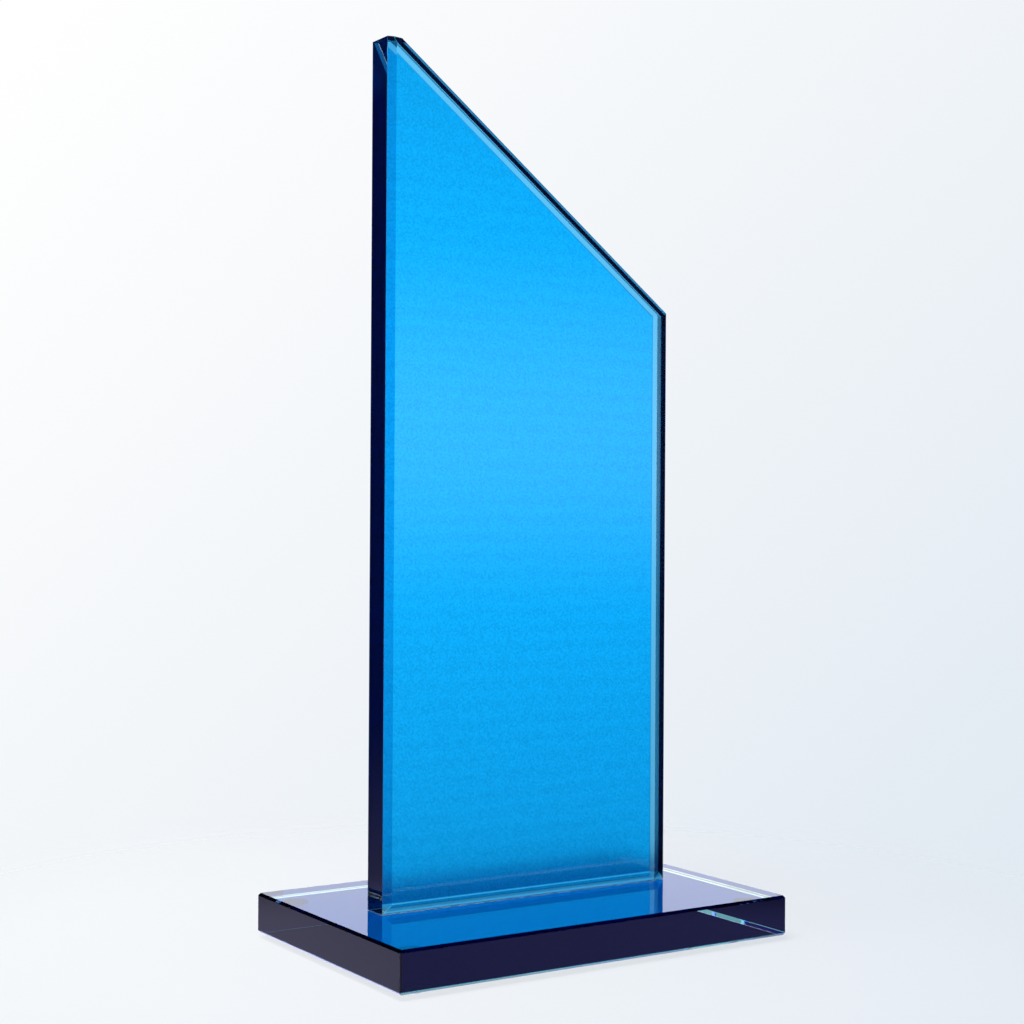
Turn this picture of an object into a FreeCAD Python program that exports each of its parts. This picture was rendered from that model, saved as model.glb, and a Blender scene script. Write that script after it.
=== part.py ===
import FreeCAD, Part

import math
import os

import Sketcher

# Bevelled glass column award: an upright clear glass plate with a slanted top, colour
# coated on its back, glued on edge to a chamfered glass base that is colour coated
# underneath and stands on four clear bumpers. Millimetres; +Z is up, the front faces -Y,
# and the base is centred on the origin with its bumpers on z = 0.

doc = FreeCAD.newDocument("column_award")

# Driving dimensions: (alias, value, what it is).
DIMENSIONS = [
    ("base_width", 134.0, "base plate, side to side"),
    ("base_depth", 87.0, "base plate, front to back"),
    ("base_thickness", 12.0, "base plate glass"),
    ("base_edge_chamfer", 1.3, "polished chamfer round the top and bottom faces"),
    ("base_corner_chamfer", 0.6, "polished chamfer up the four corners"),
    ("upright_width", 101.0, "upright plate, side to side"),
    ("upright_thickness", 10.0, "upright plate glass"),
    ("upright_tall_side", 254.7, "tall left side, to the sharp corner before it is blunted"),
    ("upright_short_side", 178.2, "short right side"),
    ("upright_tip_cut", 3.7, "height taken off the sharp corner"),
    ("bevel_width", 2.7, "front bevel, measured across the plate face"),
    ("bevel_depth", 0.8, "front bevel, measured into the plate thickness"),
    ("back_bevel_width", 1.8, "back bevel, measured across the plate face"),
    ("back_bevel_depth", 0.55, "back bevel, measured into the plate thickness"),
    ("coat_thickness", 0.1, "colour coat on either plate"),
    ("coat_margin", 0.2, "bare glass between the base's coat and its chamfers"),
    ("glue_thickness", 0.1, "clear adhesive under the upright"),
    ("glue_margin", 0.3, "set-back of the adhesive from the upright's sides"),
    ("foot_diameter", 8.0, "clear bumper"),
    ("foot_height", 1.5, "clear bumper"),
    ("foot_round", 0.7, "rounding of a bumper's lower rim"),
    ("foot_inset", 8.5, "bumper centre, in from the base's two nearest sides"),
]

# Heights at which the stack changes part, and the plan position of the upright.
FLOOR_TO_BASE = "(Dimensions.foot_height + Dimensions.coat_thickness)"
FLOOR_TO_GLUE = "(" + FLOOR_TO_BASE + " + Dimensions.base_thickness)"
FLOOR_TO_UPRIGHT = "(" + FLOOR_TO_GLUE + " + Dimensions.glue_thickness)"
UPRIGHT_FRONT = "(-Dimensions.upright_thickness / 2)"
BASE_LEFT = "(-Dimensions.base_width / 2)"
BASE_FRONT = "(-Dimensions.base_depth / 2)"
UPRIGHT_LEFT = "(-Dimensions.upright_width / 2)"

GEOMETRY_TOLERANCE = 1e-5


def make_spreadsheet():
    """Put the driving dimensions in a sheet, one row each, with their aliases."""
    sheet = doc.addObject("Spreadsheet::Sheet", "Dimensions")
    for row, (alias, value, meaning) in enumerate(DIMENSIONS, start=1):
        sheet.set(f"A{row}", meaning)
        sheet.set(f"B{row}", str(value))
        sheet.setAlias(f"B{row}", alias)
    doc.recompute()
    return sheet


def new_body(label, left, front, bottom):
    """Start a body whose sketches lie in its own positive quadrant."""
    body = doc.addObject("PartDesign::Body", label)
    body.Label = label
    body.setExpression("Placement.Base.x", left)
    body.setExpression("Placement.Base.y", front)
    body.setExpression("Placement.Base.z", bottom)
    return body


def origin_plane(body, role):
    """One of the body's own origin planes, by its role."""
    for feature in body.Origin.OriginFeatures:
        if feature.Role == role:
            return feature
    raise LookupError(f"{body.Label} has no {role}")


def sketch_on(body, role, name):
    """An empty sketch on one of the body's origin planes."""
    sketch = body.newObject("Sketcher::SketchObject", name)
    sketch.AttachmentSupport = [(origin_plane(body, role), "")]
    sketch.MapMode = "FlatFace"
    return sketch


def bind(sketch, kind, *refs, formula):
    """Add a driving constraint and tie it to the spreadsheet."""
    index = sketch.addConstraint(Sketcher.Constraint(kind, *refs, 1.0))
    sketch.setExpression(f"Constraints[{index}]", formula)


def polygon_sketch(body, role, name, corners):
    """A closed outline; each corner is a pair of formulas, measured from the origin."""
    sketch = sketch_on(body, role, name)
    count = len(corners)
    for step in range(count):
        start = 2 * math.pi * step / count
        end = 2 * math.pi * (step + 1) / count
        first = FreeCAD.Vector(math.cos(start), math.sin(start), 0)
        last = FreeCAD.Vector(math.cos(end), math.sin(end), 0)
        sketch.addGeometry(Part.LineSegment(first, last))
    for step in range(count):
        following = (step + 1) % count
        sketch.addConstraint(Sketcher.Constraint("Coincident", step, 2, following, 1))
    for step, (across, along) in enumerate(corners):
        for kind, formula in (("DistanceX", across), ("DistanceY", along)):
            if formula == "0":
                other = "PointOnObject"
                axis = -2 if kind == "DistanceX" else -1
                sketch.addConstraint(Sketcher.Constraint(other, step, 1, axis))
            else:
                bind(sketch, kind, -1, 1, step, 1, formula=formula)
    return sketch


def rectangle(across, along):
    """Corners of a rectangle that starts at the sketch's origin."""
    return [("0", "0"), (across, "0"), (across, along), ("0", along)]


def pad(body, sketch, name, length, backwards=False):
    """Extrude a sketch along its normal, or against it."""
    feature = body.newObject("PartDesign::Pad", name)
    feature.Profile = sketch
    feature.Reversed = backwards
    feature.setExpression("Length", length)
    sketch.Visibility = False
    doc.recompute()
    return feature


def edges_where(feature, test):
    """Names of the feature's edges whose two ends both pass the test."""
    names = []
    for number, edge in enumerate(feature.Shape.Edges, start=1):
        if all(test(vertex.Point) for vertex in edge.Vertexes):
            names.append(f"Edge{number}")
    return names


def upright_edges(feature):
    """Names of the feature's edges that run straight up."""
    names = []
    for number, edge in enumerate(feature.Shape.Edges, start=1):
        run = edge.Vertexes[-1].Point - edge.Vertexes[0].Point
        if near(run.x, 0) and near(run.y, 0):
            names.append(f"Edge{number}")
    return names


def chamfer(body, name, base, edges, size):
    """An equal chamfer on the named edges of a feature."""
    feature = body.newObject("PartDesign::Chamfer", name)
    feature.Base = (base, edges)
    feature.setExpression("Size", size)
    doc.recompute()
    return feature


def bevel(body, name, base, edges, depth, width):
    """An unequal chamfer, from its depth into the plate and its width across the face."""
    feature = body.newObject("PartDesign::Chamfer", name)
    feature.Base = (base, edges)
    feature.ChamferType = "Two distances"
    feature.setExpression("Size", depth)
    feature.setExpression("Size2", width)
    doc.recompute()
    return feature


def near(value, target):
    return abs(value - target) < GEOMETRY_TOLERANCE


def make_base_slab(sheet):
    """Base plate: every edge of the block is chamfered and polished."""
    body = new_body("base_slab", BASE_LEFT, BASE_FRONT, FLOOR_TO_BASE)
    corners = rectangle("Dimensions.base_width", "Dimensions.base_depth")
    outline = polygon_sketch(body, "XY_Plane", "base_outline", corners)
    block = pad(body, outline, "base_block", "Dimensions.base_thickness")

    top = sheet.base_thickness
    rims = edges_where(block, lambda point: near(point.z, 0))
    rims += edges_where(block, lambda point: near(point.z, top))
    rimmed = chamfer(body, "rim_chamfers", block, rims, "Dimensions.base_edge_chamfer")

    corner_edges = upright_edges(rimmed)
    chamfer(body, "corner_chamfers", rimmed, corner_edges, "Dimensions.base_corner_chamfer")
    return body


def make_base_coat():
    """Colour coat on the flat of the base's underside."""
    inset = "(Dimensions.base_edge_chamfer + Dimensions.coat_margin)"
    left = BASE_LEFT + " + " + inset
    front = BASE_FRONT + " + " + inset
    body = new_body("base_colour_coat", left, front, "Dimensions.foot_height")
    corners = rectangle(
        "Dimensions.base_width - 2 * " + inset, "Dimensions.base_depth - 2 * " + inset
    )
    outline = polygon_sketch(body, "XY_Plane", "base_coat_outline", corners)
    pad(body, outline, "base_coat_layer", "Dimensions.coat_thickness")
    return body


def upright_corners():
    """The upright's outline before its tip is blunted."""
    across = "Dimensions.upright_width"
    return [
        ("0", "0"),
        (across, "0"),
        (across, "Dimensions.upright_short_side"),
        ("0", "Dimensions.upright_tall_side"),
    ]


def bevelled_block(label, front, face, depth, width):
    """The upright's block, sharp but for a bevel round one face, which lies at y = face."""
    body = new_body(label, UPRIGHT_LEFT, front, FLOOR_TO_UPRIGHT)
    outline = polygon_sketch(body, "XZ_Plane", label + "_outline", upright_corners())
    block = pad(body, outline, label + "_block", "Dimensions.upright_thickness", backwards=True)
    rim = edges_where(block, lambda point: near(point.y, face))
    bevel(body, label + "_bevel", block, rim, depth, width)
    return body


def cut_tip(body, label):
    """Cut the sharp upper corner off level."""
    level = "Dimensions.upright_tall_side - Dimensions.upright_tip_cut"
    above = "Dimensions.upright_tall_side"
    reach = "Dimensions.upright_width"
    corners = [("0", level), (reach, level), (reach, above), ("0", above)]
    waste = polygon_sketch(body, "XZ_Plane", label + "_tip_waste", corners)
    cut = body.newObject("PartDesign::Pocket", label + "_tip_cut")
    cut.Profile = waste
    cut.Type = "ThroughAll"
    cut.Midplane = True
    waste.Visibility = False
    doc.recompute()


def bevelled_plate(sheet, label, front):
    """The upright's shape: what a front-bevelled and a back-bevelled block have in common."""
    front_sizes = ("Dimensions.bevel_depth", "Dimensions.bevel_width")
    back_sizes = ("Dimensions.back_bevel_depth", "Dimensions.back_bevel_width")
    front_block = bevelled_block(label + "_front", front, 0, *front_sizes)
    cut_tip(front_block, label)
    thickness = sheet.upright_thickness
    back_block = bevelled_block(label + "_back", front, thickness, *back_sizes)
    plate = doc.addObject("Part::Common", label)
    plate.Label = label
    plate.Base = front_block
    plate.Tool = back_block
    doc.recompute()
    return plate


def make_upright_coat(sheet, upright):
    """Colour coat over the upright's back and its back bevels: what a plate set back by the
    coat's thickness has beyond the upright itself."""
    behind = UPRIGHT_FRONT + " + Dimensions.coat_thickness"
    envelope = bevelled_plate(sheet, "coat_envelope", behind)
    coat = doc.addObject("Part::Cut", "upright_colour_coat")
    coat.Label = "upright_colour_coat"
    coat.Base = envelope
    coat.Tool = upright
    doc.recompute()
    return coat


def make_adhesive():
    """Clear adhesive between the upright's lower edge and the base."""
    side = "Dimensions.glue_margin"
    front_rim = "(Dimensions.bevel_depth + Dimensions.glue_margin)"
    back_rim = "(Dimensions.back_bevel_depth + Dimensions.glue_margin)"
    left = UPRIGHT_LEFT + " + " + side
    front = UPRIGHT_FRONT + " + " + front_rim
    body = new_body("adhesive_layer", left, front, FLOOR_TO_GLUE)
    corners = rectangle(
        "Dimensions.upright_width - 2 * " + side,
        "Dimensions.upright_thickness - " + front_rim + " - " + back_rim,
    )
    outline = polygon_sketch(body, "XY_Plane", "adhesive_outline", corners)
    pad(body, outline, "adhesive_sheet", "Dimensions.glue_thickness")
    return body


def make_foot(label, side, end):
    """One clear bumper; side and end are -1 or +1 for left or right and front or rear."""
    across = f"{side} * (Dimensions.base_width / 2 - Dimensions.foot_inset)"
    along = f"{end} * (Dimensions.base_depth / 2 - Dimensions.foot_inset)"
    body = new_body(label, across, along, "0")
    sketch = sketch_on(body, "XY_Plane", label + "_outline")
    centre = FreeCAD.Vector(0, 0, 0)
    axis = FreeCAD.Vector(0, 0, 1)
    sketch.addGeometry(Part.Circle(centre, axis, 1.0))
    sketch.addConstraint(Sketcher.Constraint("Coincident", 0, 3, -1, 1))
    bind(sketch, "Diameter", 0, formula="Dimensions.foot_diameter")
    disc = pad(body, sketch, label + "_disc", "Dimensions.foot_height")

    lower_rim = edges_where(disc, lambda point: near(point.z, 0))
    rounded = body.newObject("PartDesign::Fillet", label + "_rounded")
    rounded.Base = (disc, lower_rim)
    rounded.setExpression("Radius", "Dimensions.foot_round")
    doc.recompute()
    return body


def make_feet():
    """The four bumpers under the corners of the base."""
    feet = []
    for end_name, end in (("front", -1), ("rear", 1)):
        for side_name, side in (("left", -1), ("right", 1)):
            feet.append(make_foot(f"foot_{end_name}_{side_name}", side, end))
    return feet


def check_document():
    """Stop if any object failed to recompute."""
    for item in doc.Objects:
        if "Invalid" in item.State or "Error" in item.State:
            raise RuntimeError(f"{item.Label} did not recompute: {item.State}")


def write_parts(bodies):
    """Check every solid and write it to its own STEP file."""
    os.makedirs("parts", exist_ok=True)
    for body in bodies:
        shape = body.Shape
        if shape.isNull() or not shape.isValid() or len(shape.Solids) != 1:
            raise RuntimeError(f"{body.Label} is not one valid solid")
        shape.exportStep(f"parts/{body.Label}.step")


dimensions = make_spreadsheet()
upright_slab = bevelled_plate(dimensions, "upright_slab", UPRIGHT_FRONT)
parts = [
    make_base_slab(dimensions),
    make_base_coat(),
    make_adhesive(),
    upright_slab,
    make_upright_coat(dimensions, upright_slab),
]
parts += make_feet()
doc.recompute()
check_document()
write_parts(parts)
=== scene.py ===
import math

import bmesh
import bpy
from mathutils import Matrix, Vector, noise


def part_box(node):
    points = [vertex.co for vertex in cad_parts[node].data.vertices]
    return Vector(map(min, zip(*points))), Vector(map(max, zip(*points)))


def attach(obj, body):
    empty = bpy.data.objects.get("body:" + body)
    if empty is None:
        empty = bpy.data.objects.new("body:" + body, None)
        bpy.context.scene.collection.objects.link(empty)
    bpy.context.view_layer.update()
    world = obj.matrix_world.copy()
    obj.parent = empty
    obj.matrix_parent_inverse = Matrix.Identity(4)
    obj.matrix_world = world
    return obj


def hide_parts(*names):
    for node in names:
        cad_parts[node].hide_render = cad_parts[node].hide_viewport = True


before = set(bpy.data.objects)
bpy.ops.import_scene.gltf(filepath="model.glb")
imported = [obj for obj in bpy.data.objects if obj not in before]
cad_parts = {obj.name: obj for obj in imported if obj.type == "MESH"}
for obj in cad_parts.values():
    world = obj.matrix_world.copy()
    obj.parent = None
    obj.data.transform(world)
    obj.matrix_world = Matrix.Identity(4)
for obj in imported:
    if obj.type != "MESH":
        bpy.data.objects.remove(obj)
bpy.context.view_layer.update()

# Camera: a 65 mm lens at the height of the award's middle, turned 33 degrees to its front.
CAMERA_PLACE = Vector((-0.3064, -0.4631, 0.1282))
CAMERA_YAW = math.radians(33.11)
CAMERA_PITCH = math.radians(0.08)
CAMERA_ROLL = math.radians(0.33)

level_right = Vector((math.cos(CAMERA_YAW), -math.sin(CAMERA_YAW), 0.0))
forward = Vector((
    math.sin(CAMERA_YAW) * math.cos(CAMERA_PITCH),
    math.cos(CAMERA_YAW) * math.cos(CAMERA_PITCH),
    math.sin(CAMERA_PITCH),
))
level_up = level_right.cross(forward)
camera_right = level_right * math.cos(CAMERA_ROLL) + level_up * math.sin(CAMERA_ROLL)
camera_up = level_up * math.cos(CAMERA_ROLL) - level_right * math.sin(CAMERA_ROLL)
camera_turn = Matrix((camera_right, camera_up, -forward)).transposed().to_4x4()

camera_data = bpy.data.cameras.new("studio_camera")
camera_data.lens = 64.6
camera_data.sensor_width = 36.0
camera_data.clip_start = 0.01
camera = bpy.data.objects.new("studio_camera", camera_data)
camera.matrix_world = Matrix.Translation(CAMERA_PLACE) @ camera_turn
bpy.context.scene.collection.objects.link(camera)
bpy.context.scene.camera = camera

# Plain colour rendering, and enough bounces for light that runs the length of a plate.
bpy.context.scene.view_settings.view_transform = "Standard"
bpy.context.scene.cycles.max_bounces = 24
bpy.context.scene.cycles.transmission_bounces = 20
bpy.context.scene.cycles.glossy_bounces = 16
bpy.context.scene.cycles.transparent_max_bounces = 40


def linear(hex_colour):
    """An sRGB hex colour as linear red, green, blue and 1."""
    values = []
    for start in (1, 3, 5):
        part = int(hex_colour[start:start + 2], 16) / 255
        if part <= 0.04045:
            values.append(part / 12.92)
        else:
            values.append(((part + 0.055) / 1.055) ** 2.4)
    return (*values, 1.0)


def add(tree, kind, settings=None, **inputs):
    """Add a node; an input is a value, or an output socket to link from."""
    made = tree.nodes.new(kind)
    for name, value in (settings or {}).items():
        setattr(made, name, value)
    for name, value in inputs.items():
        key = int(name[1:]) if name[0] == "_" else name.replace("_", " ")
        socket = made.inputs[key]
        if isinstance(value, bpy.types.NodeSocket):
            tree.links.new(value, socket)
        else:
            socket.default_value = value
    return made


# Studio: pale paper all round, which the lens sees as it is. Glass sees a bright panel through
# it, and mirrors a dim room with a low bluish-grey table, so that its edges stay dark.
world = bpy.data.worlds.new("studio")
bpy.context.scene.world = world
world.use_nodes = True
studio = world.node_tree
studio.nodes.clear()
where = add(studio, "ShaderNodeTexCoord").outputs["Generated"]
axes = add(studio, "ShaderNodeSeparateXYZ", _0=where)
azimuth = add(
    studio, "ShaderNodeMath", {"operation": "ARCTAN2"},
    _0=axes.outputs["X"], _1=axes.outputs["Y"],
).outputs[0]
height = axes.outputs["Z"]


def studio_patch(left, right, soft, rise=(-2.0, -1.5), fall=(1.5, 2.0)):
    """One over part of the studio's walls, from azimuths in degrees and heights, else zero."""
    left, right, soft = (math.radians(v) for v in (left, right, soft))
    patch = None
    for value, low, high, start, end in (
        (azimuth, left - soft, left + soft, 0.0, 1.0),
        (azimuth, right - soft, right + soft, 1.0, 0.0),
        (height, *rise, 0.0, 1.0),
        (height, *fall, 1.0, 0.0),
    ):
        border = add(
            studio, "ShaderNodeMapRange", {"interpolation_type": "SMOOTHSTEP"},
            Value=value, From_Min=low, From_Max=high, To_Min=start, To_Max=end,
        ).outputs[0]
        if patch is None:
            patch = border
        else:
            patch = add(
                studio, "ShaderNodeMath", {"operation": "MULTIPLY"}, _0=patch, _1=border
            ).outputs[0]
    return patch


# Paper that the lens sees: brightest at its upper left, falling off to the lower right.
paper_side = add(
    studio, "ShaderNodeVectorMath", {"operation": "DOT_PRODUCT"},
    _0=where, _1=level_right * 0.73 - level_up * 0.68,
).outputs["Value"]
paper_shade = add(
    studio, "ShaderNodeMapRange", Value=paper_side, From_Min=-0.35, From_Max=0.7
).outputs[0]
paper = add(studio, "ShaderNodeValToRGB", Fac=paper_shade)
paper.color_ramp.elements[0].color = linear("#FFFFFF")
paper.color_ramp.elements[1].color = linear("#D6E2ED")
for share, tone in ((0.333, "#F0F4F8"), (0.657, "#E0E9F2")):
    paper.color_ramp.elements.new(share).color = linear(tone)

# What glass lets through: a bright panel, with a glow behind the middle of the award.
glow = studio_patch(5, 62, 14, rise=(-0.16, 0.045), fall=(0.07, 0.30))
through = add(
    studio, "ShaderNodeMath", {"operation": "MULTIPLY_ADD"}, _0=glow, _1=0.9, _2=1.65
).outputs[0]

# What glass mirrors: a dim room with some lit parts and the table's bluish tone low down.
mirrored = 0.008
for strength, patch in (
    (1.2, studio_patch(0, 75, 10, fall=(0.30, 0.42))),
    (0.3, studio_patch(-400, 400, 5, fall=(-0.215, -0.19))),
    (0.26, studio_patch(-120, 20, 15, fall=(-0.26, -0.10))),
    (0.6, studio_patch(128, 166, 8, rise=(-0.06, 0.04), fall=(0.05, 0.16))),
    (0.8, studio_patch(-105, -58, 5, fall=(0.3, 0.5))),
):
    mirrored = add(
        studio, "ShaderNodeMath", {"operation": "MULTIPLY_ADD"},
        _0=patch, _1=strength, _2=mirrored,
    ).outputs[0]
level_share = add(
    studio, "ShaderNodeMapRange", Value=height, From_Min=-0.16, From_Max=-0.04
).outputs[0]
table_tone = add(
    studio, "ShaderNodeMix", {"data_type": "RGBA"},
    _0=studio_patch(95, 175, 12), _6=(0.9, 0.88, 1.45, 1.0), _7=(0.9, 0.95, 3.4, 1.0),
).outputs[2]
room_tone = add(
    studio, "ShaderNodeMix", {"data_type": "RGBA"},
    _0=level_share, _6=table_tone, _7=(1.0, 1.0, 1.0, 1.0),
).outputs[2]
mirror_colour = add(
    studio, "ShaderNodeVectorMath", {"operation": "SCALE"}, _0=room_tone, Scale=mirrored
).outputs[0]

rays = add(studio, "ShaderNodeLightPath")
glass_sees = add(
    studio, "ShaderNodeMix", {"data_type": "RGBA"},
    _0=rays.outputs["Is Transmission Ray"], _6=mirror_colour, _7=through,
).outputs[2]
all_but_lens = add(
    studio, "ShaderNodeMix", {"data_type": "RGBA"},
    _0=rays.outputs["Is Diffuse Ray"], _6=glass_sees, _7=(0.86, 0.86, 0.86, 1.0),
).outputs[2]
lens_or_rest = add(
    studio, "ShaderNodeMix", {"data_type": "RGBA"},
    _0=rays.outputs["Is Camera Ray"], _6=all_but_lens, _7=paper.outputs["Color"],
).outputs[2]
sky = add(studio, "ShaderNodeBackground", Color=lens_or_rest, Strength=1.0)
add(studio, "ShaderNodeOutputWorld", Surface=sky.outputs[0])

# Table top: matt white card, big enough to lose its edge in the paper.
FLOOR_CLEAR = 0.10
FLOOR_GONE = 0.26
floor_mesh = bpy.data.meshes.new("table_card")
plan = bmesh.new()
bmesh.ops.create_circle(plan, cap_ends=True, segments=96, radius=FLOOR_GONE)
plan.to_mesh(floor_mesh)
plan.free()
floor = bpy.data.objects.new("table_card", floor_mesh)
bpy.context.scene.collection.objects.link(floor)
floor.location.z = -0.00003
floor.visible_glossy = False

card_with_painted_light = bpy.data.materials.new("matt_white_card_painted_light")
card_with_painted_light.use_nodes = True
tree = card_with_painted_light.node_tree
tree.nodes.clear()
place = add(tree, "ShaderNodeNewGeometry").outputs["Position"]
reach = add(tree, "ShaderNodeVectorMath", {"operation": "LENGTH"}, _0=place).outputs["Value"]
shown = add(
    tree, "ShaderNodeMapRange", {"interpolation_type": "SMOOTHSTEP"},
    Value=reach, From_Min=FLOOR_CLEAR, From_Max=FLOOR_GONE, To_Min=1.0, To_Max=0.0,
).outputs[0]
# Painted shade: the card's colour darkens from left to right, standing in for its light falling
# off.
card_side = add(
    tree, "ShaderNodeVectorMath", {"operation": "DOT_PRODUCT"}, _0=place, _1=level_right
).outputs["Value"]
card_share = add(
    tree, "ShaderNodeMapRange", Value=card_side, From_Min=-0.15, From_Max=0.15
).outputs[0]
card_painted_falloff = add(tree, "ShaderNodeValToRGB", Fac=card_share)
card_painted_falloff.color_ramp.elements[0].color = linear("#F8FAFC")
card_painted_falloff.color_ramp.elements[1].color = linear("#E8EEF5")
matt = add(tree, "ShaderNodeBsdfDiffuse", Color=card_painted_falloff.outputs["Color"], Roughness=1.0)
# Painted light: for rays that come through glass the card also glows, though it is no lamp.
glass_ray = add(tree, "ShaderNodeLightPath").outputs["Is Transmission Ray"]
painted_glow_strength = add(
    tree, "ShaderNodeMath", {"operation": "MULTIPLY"}, _0=glass_ray, _1=0.55
).outputs[0]
lit = add(tree, "ShaderNodeEmission", Strength=painted_glow_strength)
card_face = add(tree, "ShaderNodeAddShader", _0=matt.outputs[0], _1=lit.outputs[0])
nothing = add(tree, "ShaderNodeBsdfTransparent")
fade = add(tree, "ShaderNodeMixShader", _0=shown, _1=nothing.outputs[0], _2=card_face.outputs[0])
add(tree, "ShaderNodeOutputMaterial", Surface=fade.outputs[0])
floor_mesh.materials.append(card_with_painted_light)

# Key light: a large softbox overhead on the left, only for a soft shadow on the card.
key_data = bpy.data.lights.new("softbox", "AREA")
key_data.shape = "DISK"
key_data.size = 0.9
key_data.energy = 3.0
key = bpy.data.objects.new("softbox", key_data)
key.location = (-0.5, -0.2, 1.3)
key.rotation_euler = (Vector(key.location)).to_track_quat("Z", "Y").to_euler()
key.visible_camera = False
key.visible_glossy = False
key.visible_transmission = False
bpy.context.scene.collection.objects.link(key)


# Upright: 10 mm clear float glass, ground to shape with a slanted top, bevelled round both
# faces, cut level at the tip and flame polished, so every edge keeps a hair-wide arris.
upright_low, upright_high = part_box("upright_slab")
HALF_WIDE = upright_high.x
HALF_THICK = upright_high.y
FOOT_Z = upright_low.z
TIP_Z = upright_high.z
TALL_SIDE = 0.2547
SHORT_SIDE = 0.1782
BEVEL_WIDTH = 0.0027
BEVEL_DEPTH = 0.0008
BACK_BEVEL_WIDTH = 0.0018
BACK_BEVEL_DEPTH = 0.00055
ARRIS = 0.00013


def polygon_inset(corners, distance):
    """Move each side of a convex outline in by a distance."""
    count = len(corners)
    moved = []
    for index in range(count):
        before, here, after = (corners[(index + k) % count] for k in (-1, 0, 1))
        one = (here - before).normalized()
        two = (after - here).normalized()
        inward_one = Vector((-one.y, one.x))
        inward_two = Vector((-two.y, two.x))
        along = distance / (1 + inward_one.dot(inward_two))
        moved.append(here + (inward_one + inward_two) * along)
    return moved


def loft(rings):
    """A closed solid through rings of points, with a cap on the first and the last."""
    block = bmesh.new()
    loops = [[block.verts.new(point) for point in ring] for ring in rings]
    for near_loop, far_loop in zip(loops, loops[1:]):
        for index, vertex in enumerate(near_loop):
            following = (index + 1) % len(near_loop)
            block.faces.new((
                vertex, far_loop[index], far_loop[following], near_loop[following]
            ))
    block.faces.new(loops[0])
    block.faces.new(list(reversed(loops[-1])))
    bmesh.ops.recalc_face_normals(block, faces=block.faces[:])
    return block


def upright_loft(levels):
    """A solid through the upright's outline at pairs of inset and y, cut level at the tip."""
    outline = [
        Vector((-HALF_WIDE, FOOT_Z)),
        Vector((HALF_WIDE, FOOT_Z)),
        Vector((HALF_WIDE, FOOT_Z + SHORT_SIDE)),
        Vector((-HALF_WIDE, FOOT_Z + TALL_SIDE)),
    ]
    block = loft([
        [(p.x, y, p.y) for p in polygon_inset(outline, inset)] for inset, y in levels
    ])
    level = bmesh.ops.bisect_plane(
        block, geom=block.verts[:] + block.edges[:] + block.faces[:], dist=1e-7,
        plane_co=(0, 0, TIP_Z), plane_no=(0, 0, 1), clear_outer=True,
    )
    cut_edges = [item for item in level["geom_cut"] if isinstance(item, bmesh.types.BMEdge)]
    bmesh.ops.edgenet_fill(block, edges=cut_edges)
    bmesh.ops.recalc_face_normals(block, faces=block.faces[:])
    return block


def soften_edges(block, width, edges=None):
    bmesh.ops.bevel(
        block, geom=edges or block.edges[:], offset=width, offset_type="OFFSET", segments=1,
        affect="EDGES", clamp_overlap=True,
    )
    bmesh.ops.recalc_face_normals(block, faces=block.faces[:])


def finish_piece(block, name, materials):
    """Turn a bmesh into an object with its materials, ready to ride."""
    mesh = bpy.data.meshes.new(name)
    block.to_mesh(mesh)
    block.free()
    for material in materials:
        mesh.materials.append(material)
    piece = bpy.data.objects.new(name, mesh)
    bpy.context.scene.collection.objects.link(piece)
    piece.visible_diffuse = False
    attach(piece, "root")
    return piece


slab = upright_loft([
    (BEVEL_WIDTH, -HALF_THICK),
    (0.0, BEVEL_DEPTH - HALF_THICK),
    (0.0, HALF_THICK - BACK_BEVEL_DEPTH),
    (BACK_BEVEL_WIDTH, HALF_THICK),
])
soften_edges(slab, ARRIS)
# Painted shade per bevel: none on the left, some on the bottom, more on the slant, all of it on
# the right.
painted_shade = slab.faces.layers.float.new("painted_shade")
for face in slab.faces:
    coated = face.normal.y > 0.9
    glued = face.normal.z < -0.9
    ground = -0.97 < face.normal.y < -0.95
    side = abs(face.normal.y) < 0.1
    face.material_index = 1 if coated or glued else 2 if ground else 3 if side else 0
    right_hand = face.normal.x > 0.1 and face.normal.z < 0.1
    slanted = face.normal.x > 0.1 and not right_hand
    bottom = face.normal.z < -0.1
    face[painted_shade] = 2.0 if right_hand else 1.0 if slanted else 0.65 if bottom else 0.0

# Clear soda-lime glass: colourless face on, a breath of green along its edges.
bare_glass = bpy.data.materials.new("polished_float_glass")
bare_glass.use_nodes = True
tree = bare_glass.node_tree
tree.nodes.clear()
polish = add(
    tree, "ShaderNodeBsdfPrincipled", Base_Color=linear("#FBFFFD"), Roughness=0.0, IOR=1.52,
    Transmission_Weight=1.0,
)
add(tree, "ShaderNodeOutputMaterial", Surface=polish.outputs[0])

# A face under clear lacquer or adhesive of the glass's own index: light crosses it unbent.
bonded = bpy.data.materials.new("bonded_face")
bonded.use_nodes = True
tree = bonded.node_tree
tree.nodes.clear()
crossing = add(tree, "ShaderNodeBsdfTransparent", Color=(1, 1, 1, 1))
add(tree, "ShaderNodeOutputMaterial", Surface=crossing.outputs[0])

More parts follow.
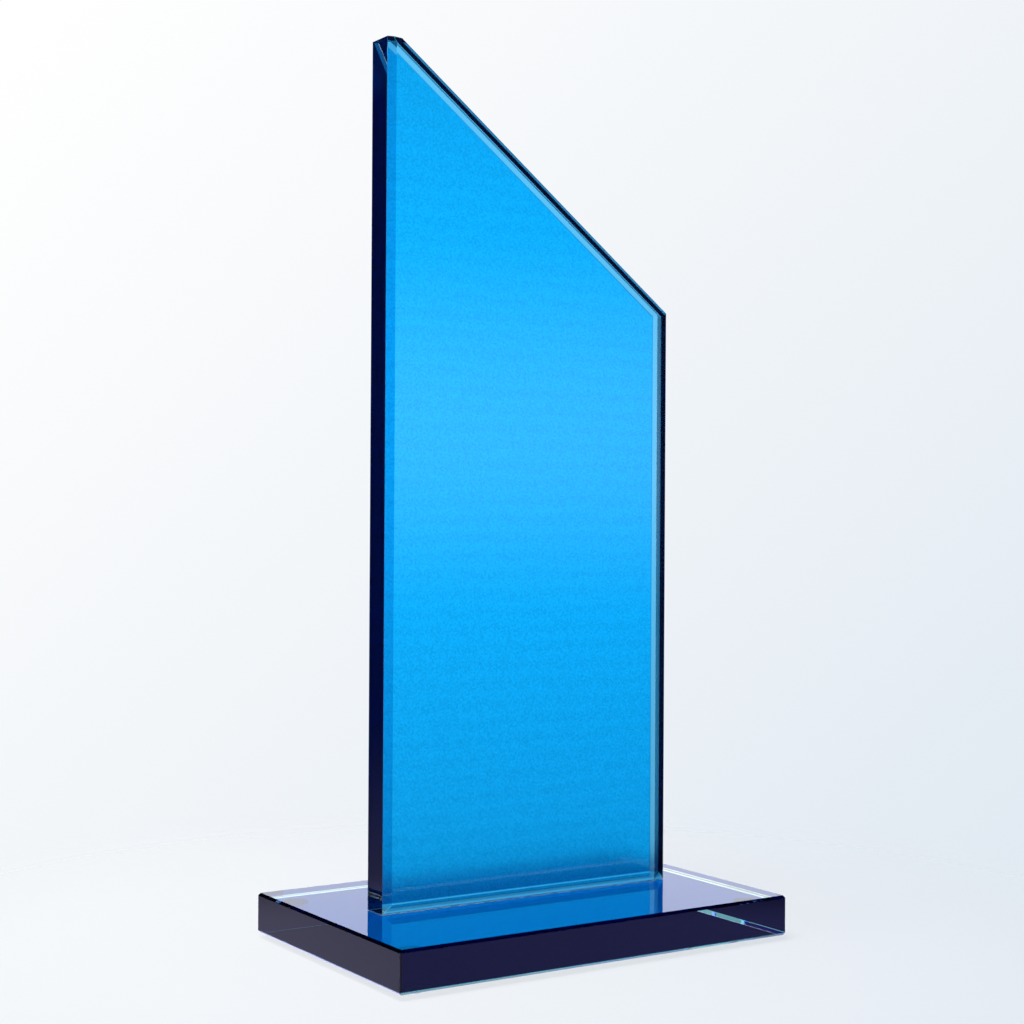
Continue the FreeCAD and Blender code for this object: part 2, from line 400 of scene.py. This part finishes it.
# Ground and repolished bevels, with painted shade: a dark tint stands in for the dark that the
# slanted and the right-hand one look into along the plate, and for the dark at the tip; the
# slanted keeps a light rim.
bevel_glass = bpy.data.materials.new("ground_bevel_glass_painted_shade")
bevel_glass.use_nodes = True
tree = bevel_glass.node_tree
tree.nodes.clear()
painted_shade_share = add(tree, "ShaderNodeAttribute", {"attribute_name": "painted_shade"}).outputs["Fac"]
place = add(tree, "ShaderNodeTexCoord").outputs["Object"]
spot = add(tree, "ShaderNodeSeparateXYZ", _0=place)
rim_left_unshaded = add(
    tree, "ShaderNodeMapRange", {"interpolation_type": "SMOOTHSTEP"}, Value=spot.outputs["Y"],
    From_Min=-HALF_THICK + BEVEL_DEPTH * 0.60, From_Max=-HALF_THICK + BEVEL_DEPTH * 0.75,
    To_Min=1.0, To_Max=0.0,
).outputs[0]
dark_sides = add(
    tree, "ShaderNodeMath", {"operation": "MULTIPLY"}, _0=painted_shade_share, _1=rim_left_unshaded
).outputs[0]
dark_throughout = add(
    tree, "ShaderNodeMath", {"operation": "SUBTRACT"}, _0=painted_shade_share, _1=1.0
).outputs[0]
painted_bevel_shade = add(
    tree, "ShaderNodeMath", {"operation": "MAXIMUM"}, _0=dark_sides, _1=dark_throughout
).outputs[0]
# Painted shade at the tip: the bevels turn dark in their top 1.6 mm.
painted_tip_shade = add(
    tree, "ShaderNodeMapRange", Value=spot.outputs["Z"],
    From_Min=TIP_Z - 0.0016, From_Max=TIP_Z - 0.0013,
).outputs[0]
painted_shade_amount = add(
    tree, "ShaderNodeMath", {"operation": "MAXIMUM"}, _0=painted_bevel_shade, _1=painted_tip_shade
).outputs[0]
bevel_painted_shade_tone = add(
    tree, "ShaderNodeMix", {"data_type": "RGBA"},
    _0=painted_shade_amount, _6=linear("#8CC6DA"), _7=linear("#020109"),
).outputs[2]
repolish = add(
    tree, "ShaderNodeBsdfPrincipled", Base_Color=bevel_painted_shade_tone, Roughness=0.02, IOR=1.52,
    Transmission_Weight=1.0,
)
add(tree, "ShaderNodeOutputMaterial", Surface=repolish.outputs[0])

# Side faces, with painted light and shade: a navy tint stands in for the shade they show, and a
# paler tint near the tip stands in for the light there.
side_glass = bpy.data.materials.new("upright_side_glass_painted_shade")
side_glass.use_nodes = True
tree = side_glass.node_tree
tree.nodes.clear()
place = add(tree, "ShaderNodeTexCoord").outputs["Object"]
rise = add(tree, "ShaderNodeSeparateXYZ", _0=place).outputs["Z"]
tip_painted_light_share = add(
    tree, "ShaderNodeMapRange", {"interpolation_type": "SMOOTHSTEP"}, Value=rise,
    From_Min=TIP_Z - 0.018, From_Max=TIP_Z - 0.010,
).outputs[0]
side_painted_tone = add(
    tree, "ShaderNodeMix", {"data_type": "RGBA"},
    _0=tip_painted_light_share, _6=linear("#1E4586"), _7=linear("#8FC4EC"),
).outputs[2]
side_polish = add(
    tree, "ShaderNodeBsdfPrincipled", Base_Color=side_painted_tone, Roughness=0.0, IOR=1.52,
    Transmission_Weight=1.0,
)
add(tree, "ShaderNodeOutputMaterial", Surface=side_polish.outputs[0])

upright = finish_piece(slab, "upright_glass", [bare_glass, bonded, bevel_glass, side_glass])
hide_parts("upright_slab")

# Upright's colour coat: translucent azure lacquer sprayed over the back, thinner on its bevels.
# It is fine grained, so what lies behind is only a blur, and it is darker along its own plane.
COAT_GAP = 0.00001
THIN_SHARE = 0.5
COAT_STEP = 0.0004
coat_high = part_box("upright_colour_coat")[1]
full_coat = coat_high.y - HALF_THICK
thin_coat = full_coat * THIN_SHARE
RIM_Y = HALF_THICK - BACK_BEVEL_DEPTH
shell = upright_loft([
    (BACK_BEVEL_WIDTH, HALF_THICK + COAT_GAP),
    (0.0, RIM_Y + COAT_GAP),
    (0.0, RIM_Y + thin_coat),
    (
        BACK_BEVEL_WIDTH - COAT_STEP,
        HALF_THICK - BACK_BEVEL_DEPTH * COAT_STEP / BACK_BEVEL_WIDTH + thin_coat,
    ),
    (BACK_BEVEL_WIDTH, coat_high.y),
])
clear_side = shell.faces.layers.float.new("open")
over_bevel = shell.faces.layers.float.new("bevelled")
for face in shell.faces:
    face[clear_side] = 0.0 if face.normal.y < -0.9 else 1.0
    face[over_bevel] = 0.0 if face.normal.y > 0.999 else 1.0


def tint_density(hex_colour, depth):
    """Density and colour of an absorbing layer that passes this tint at this depth."""
    passed = [max(v, 1e-4) for v in linear(hex_colour)[:3]]
    needed = [-math.log(v) / depth for v in passed]
    density = max(needed)
    return density, (*(1 - v / density for v in needed), 1.0)


# Azure lacquer: grain and faint level bands of the spray passes give the eye its silky look.
# The grain is drawn 0.6 mm wide, about the finest that shows.
GRAIN_WIDTH = 0.0006
PASS_SPACING = 0.0055
azure_lacquer = bpy.data.materials.new("azure_lacquer")
azure_lacquer.use_nodes = True
tree = azure_lacquer.node_tree
tree.nodes.clear()
skin = add(tree, "ShaderNodeAttribute", {"attribute_name": "open"}).outputs["Fac"]
place = add(tree, "ShaderNodeTexCoord").outputs["Object"]
grain = add(
    tree, "ShaderNodeTexNoise", {"noise_dimensions": "3D"},
    Vector=place, Scale=1 / GRAIN_WIDTH, Detail=2.0, Roughness=0.7,
).outputs[0]
passes = add(
    tree, "ShaderNodeTexWave", {"wave_type": "BANDS", "bands_direction": "Z"},
    Vector=place, Scale=math.tau / 20 / PASS_SPACING, Distortion=2.0, Detail=1.0,
    Detail_Scale=0.6,
).outputs["Fac"]
cover = add(
    tree, "ShaderNodeMath", {"operation": "MULTIPLY_ADD"}, _0=passes, _1=0.05, _2=grain
).outputs[0]
tone = add(tree, "ShaderNodeValToRGB", Fac=cover)
tone.color_ramp.elements[0].position = 0.36
tone.color_ramp.elements[1].position = 0.68
tone.color_ramp.elements[0].color = linear("#CFCFCF")
tone.color_ramp.elements[1].color = linear("#FFFFFF")
thin_skin = add(tree, "ShaderNodeAttribute", {"attribute_name": "bevelled"}).outputs["Fac"]
coat_tone = add(
    tree, "ShaderNodeMix", {"data_type": "RGBA"},
    _0=thin_skin, _6=tone.outputs["Color"], _7=linear("#A07C95"),
).outputs[2]
lacquer = add(
    tree, "ShaderNodeBsdfPrincipled", Base_Color=coat_tone, Roughness=0.36,
    IOR=1.52, Transmission_Weight=1.0, Alpha=skin,
)
density, body_colour = tint_density("#0C8FCC", full_coat - COAT_GAP)
pigment = add(tree, "ShaderNodeVolumeAbsorption", Color=body_colour, Density=density)
add(tree, "ShaderNodeOutputMaterial", Surface=lacquer.outputs[0], Volume=pigment.outputs[0])

coat = finish_piece(shell, "upright_azure_coat", [azure_lacquer])
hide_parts("upright_colour_coat")

# Base: 12 mm clear float glass plate, cut square, with every edge chamfered and polished. It lies
# level and carries the upright, which is bonded to its top face.
base_low, base_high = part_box("base_slab")
base_coat_low, base_coat_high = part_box("base_colour_coat")
glue_low, glue_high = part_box("adhesive_layer")
RIM_CHAMFER = 0.0013
CORNER_CHAMFER = 0.0006
plate = bmesh.new()
bmesh.ops.create_cube(plate, size=1.0)
bmesh.ops.scale(plate, verts=plate.verts[:], vec=base_high - base_low)
bmesh.ops.translate(plate, verts=plate.verts[:], vec=(base_low + base_high) / 2)
standing = [e for e in plate.edges if abs(e.verts[0].co.z - e.verts[1].co.z) > 1e-6]
soften_edges(plate, CORNER_CHAMFER / math.sqrt(2), standing)
level = [e for e in plate.edges if abs(e.verts[0].co.z - e.verts[1].co.z) < 1e-6]
soften_edges(plate, RIM_CHAMFER / math.sqrt(2), level)
soften_edges(plate, ARRIS * 0.8)
for low, high, facing in ((glue_low, glue_high, 1), (base_coat_low, base_coat_high, -1)):
    for corner in (low, high):
        for normal in ((1, 0, 0), (0, 1, 0)):
            flats = [f for f in plate.faces if f.normal.z * facing > 0.99]
            edges = {e for f in flats for e in f.edges}
            corners = {v for f in flats for v in f.verts}
            bmesh.ops.bisect_plane(
                plate, geom=flats + list(edges) + list(corners), dist=1e-7,
                plane_co=corner, plane_no=normal,
            )
bmesh.ops.recalc_face_normals(plate, faces=plate.faces[:])
for face in plate.faces:
    spot = face.calc_center_median()
    footing = face.normal.z > 0.99 and all(
        glue_low[k] < spot[k] < glue_high[k] for k in (0, 1)
    )
    coated = face.normal.z < -0.99 and all(
        base_coat_low[k] < spot[k] < base_coat_high[k] for k in (0, 1)
    )
    low_edge = -0.99 < face.normal.z < -0.1
    rim = 0.1 < face.normal.z < 0.9
    corner = abs(face.normal.z) < 0.1 and min(abs(face.normal.x), abs(face.normal.y)) > 0.1
    far_side = abs(face.normal.z) < 0.1 and face.normal.y > -0.9
    face.material_index = (
        1 if footing or coated else 2 if low_edge or corner else 3 if rim else 4 if far_side else 0
    )

# Polished lower chamfers and standing corners, with painted light: a dim aqua tint stands in for
# the table light they catch.
edge_glass = bpy.data.materials.new("polished_edge_glass_painted_light")
edge_glass.use_nodes = True
tree = edge_glass.node_tree
tree.nodes.clear()
edge_polish = add(
    tree, "ShaderNodeBsdfPrincipled", Base_Color=linear("#3A8A8C"), Roughness=0.03, IOR=1.52,
    Transmission_Weight=1.0,
)
add(tree, "ShaderNodeOutputMaterial", Surface=edge_polish.outputs[0])

# Polished upper chamfers, with painted shade: a navy tint stands in for the dark coat they look on
# to through the plate.
rim_glass = bpy.data.materials.new("rim_glass_painted_navy_shade")
rim_glass.use_nodes = True
tree = rim_glass.node_tree
tree.nodes.clear()
rim_polish = add(
    tree, "ShaderNodeBsdfPrincipled", Base_Color=linear("#3059BC"), Roughness=0.02, IOR=1.52,
    Transmission_Weight=1.0,
)
add(tree, "ShaderNodeOutputMaterial", Surface=rim_polish.outputs[0])

# Far sides of the plate, with painted shade: a deep aqua tint darkens them.
far_glass_painted_shade = bpy.data.materials.new("far_side_glass_painted_shade")
far_glass_painted_shade.use_nodes = True
tree = far_glass_painted_shade.node_tree
tree.nodes.clear()
far_polish = add(
    tree, "ShaderNodeBsdfPrincipled", Base_Color=linear("#17484D"), Roughness=0.02, IOR=1.52,
    Transmission_Weight=1.0,
)
add(tree, "ShaderNodeOutputMaterial", Surface=far_polish.outputs[0])

base = finish_piece(
    plate, "base_glass", [bare_glass, bonded, edge_glass, rim_glass, far_glass_painted_shade]
)
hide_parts("base_slab")

# Base's colour coat: the same azure lacquer in a heavier layer under the plate, sprayed short
# of its chamfers with a feathered edge, so the base looks navy from its sides.
FEATHER = 0.0003


def wavering_outline(low, high, radius, wander, wave):
    """Points round a rounded rectangle drawn in unevenly, each with its outward direction."""
    turns = []
    for x, y, start in (
        (high.x - radius, high.y - radius, 0),
        (low.x + radius, high.y - radius, 90),
        (low.x + radius, low.y + radius, 180),
        (high.x - radius, low.y + radius, 270),
    ):
        for step in range(7):
            turn = math.radians(start + 15 * step)
            out = Vector((math.cos(turn), math.sin(turn)))
            turns.append((Vector((x, y)) + out * radius, out))
    walk = []
    for index, (spot, out) in enumerate(turns):
        following = turns[(index + 1) % len(turns)][0]
        count = max(1, round((following - spot).length / (wave / 2)))
        for step in range(count):
            point = spot.lerp(following, step / count)
            drift = 0.5 + 0.5 * noise.noise(Vector((point.x, point.y, 0.0)) / wave)
            walk.append((point - out * wander * drift, out))
    return walk


spray_edge = wavering_outline(base_coat_low, base_coat_high, 0.0008, 0.0001, 0.004)
layer_top = base_coat_high.z - COAT_GAP
layer = loft([
    [(*point, layer_top) for point, out in spray_edge],
    [(*(point - out * FEATHER), base_coat_low.z) for point, out in spray_edge],
])
clear_side = layer.faces.layers.float.new("open")
for face in layer.faces:
    face[clear_side] = 0.0 if face.normal.z > 0.9 else 1.0

# Heavy azure lacquer: deep enough to turn navy wherever light runs along the plate.
navy_lacquer = bpy.data.materials.new("navy_lacquer")
navy_lacquer.use_nodes = True
tree = navy_lacquer.node_tree
tree.nodes.clear()
skin = add(tree, "ShaderNodeAttribute", {"attribute_name": "open"}).outputs["Fac"]
place = add(tree, "ShaderNodeTexCoord").outputs["Object"]
grain = add(
    tree, "ShaderNodeTexNoise", {"noise_dimensions": "3D"},
    Vector=place, Scale=1 / GRAIN_WIDTH, Detail=2.0, Roughness=0.7,
).outputs[0]
tone = add(tree, "ShaderNodeValToRGB", Fac=grain)
tone.color_ramp.elements[0].position = 0.3
tone.color_ramp.elements[1].position = 0.7
tone.color_ramp.elements[0].color = linear("#E6E6E6")
tone.color_ramp.elements[1].color = linear("#FFFFFF")
lacquer = add(
    tree, "ShaderNodeBsdfPrincipled", Base_Color=tone.outputs["Color"], Roughness=0.2,
    IOR=1.52, Transmission_Weight=1.0, Alpha=skin,
)
density, body_colour = tint_density("#0B7ED2", layer_top - base_coat_low.z)
pigment = add(tree, "ShaderNodeVolumeAbsorption", Color=body_colour, Density=density)
add(tree, "ShaderNodeOutputMaterial", Surface=lacquer.outputs[0], Volume=pigment.outputs[0])

base_coat = finish_piece(layer, "base_navy_coat", [navy_lacquer])
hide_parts("base_colour_coat")

# Adhesive: clear UV-cured acrylic, pressed to a thin film under the upright. A little of it is
# squeezed out all round and left as an uneven bead in the corner of the joint.
FILM_LIFT = 0.00002
squeezed = wavering_outline(glue_low, glue_high, 0.0006, 0.0001, 0.0024)
film_rings = []
for spread, wet, z in (
    (0.0, 0.0, glue_low.z),
    (0.00036, 1.0, glue_low.z + FILM_LIFT),
    (0.00048, 1.0, glue_high.z),
    (0.00040, 0.8, glue_high.z + 0.00012),
    (0.00032, 0.0, glue_high.z - 0.00001),
    (0.0, 0.0, glue_high.z),
):
    ring = []
    for point, out in squeezed:
        swell = noise.noise(Vector((point.x, point.y, 0.05)) / 0.0031)
        bead = (0.00008 + 0.00018 * swell) * (1.0 - 0.7 * abs(out.x))
        ring.append((*(point + out * (spread + wet * bead)), z))
    film_rings.append(ring)
film = loft(film_rings)
for face in film.faces:
    face.material_index = 1 if len(face.verts) > 4 else 0

# Cured adhesive: clear, with the slightly milky skin that draws a pale line round the joint.
cured_adhesive = bpy.data.materials.new("cured_clear_adhesive")
cured_adhesive.use_nodes = True
tree = cured_adhesive.node_tree
tree.nodes.clear()
place = add(tree, "ShaderNodeTexCoord").outputs["Object"]
clouds = add(
    tree, "ShaderNodeTexNoise", {"noise_dimensions": "3D"},
    Vector=place, Scale=1 / 0.002, Detail=2.0, Roughness=0.6,
).outputs[0]
milk = add(tree, "ShaderNodeValToRGB", Fac=clouds)
milk.color_ramp.elements[0].position = 0.35
milk.color_ramp.elements[1].position = 0.65
milk.color_ramp.elements[0].color = linear("#7FA3AE")
milk.color_ramp.elements[1].color = linear("#F4FBF6")
cured = add(
    tree, "ShaderNodeBsdfPrincipled", Base_Color=milk.outputs["Color"], Roughness=0.12, IOR=1.5,
    Transmission_Weight=0.92,
)
add(tree, "ShaderNodeOutputMaterial", Surface=cured.outputs[0])

adhesive = finish_piece(film, "adhesive_film", [cured_adhesive, bonded])
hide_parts("adhesive_layer")

# Bumpers: four clear soft polyurethane domes, cast in a sheet. Their own adhesive holds them to
# the coat under the base, one in from each corner.
soft_bumper = bpy.data.materials.new("soft_clear_polyurethane")
for end in ("front", "rear"):
    for side in ("left", "right"):
        node = f"foot_{end}_{side}"
        low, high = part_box(node)
        centre = (low + high) / 2
        radius = (high.x - low.x) / 2
        tall = high.z - low.z
        profile = [(0.0, 0.0)]
        for step in range(9):
            turn = math.radians(10 * step)
            profile.append((
                radius * (0.72 + 0.28 * math.sin(turn)), tall * 0.8 * (1 - math.cos(turn))
            ))
        profile += [(radius, tall * 0.9), (radius, tall), (0.0, tall)]
        dome = bmesh.new()
        outline = [dome.verts.new((r, 0, z)) for r, z in profile]
        edges = [dome.edges.new(pair) for pair in zip(outline, outline[1:])]
        bmesh.ops.spin(
            dome, geom=outline + edges, cent=(0, 0, 0), axis=(0, 0, 1),
            angle=math.tau, steps=40, use_merge=True,
        )
        bmesh.ops.remove_doubles(dome, verts=dome.verts[:], dist=1e-7)
        bmesh.ops.recalc_face_normals(dome, faces=dome.faces[:])
        bmesh.ops.translate(dome, verts=dome.verts[:], vec=(centre.x, centre.y, low.z))
        for face in dome.faces:
            stuck = face.normal.z > 0.99
            face.material_index = 1 if stuck else 0
            face.smooth = not stuck
        bumper = finish_piece(dome, f"bumper_{end}_{side}", [soft_bumper, bonded])
        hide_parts(node)

# Soft polyurethane: a milky clear body with a satin skin from its mould.
soft_bumper.use_nodes = True
tree = soft_bumper.node_tree
tree.nodes.clear()
rubber = add(
    tree, "ShaderNodeBsdfPrincipled", Base_Color=linear("#F6FAFB"), Roughness=0.25, IOR=1.49,
    Transmission_Weight=0.5,
)
add(tree, "ShaderNodeOutputMaterial", Surface=rubber.outputs[0])
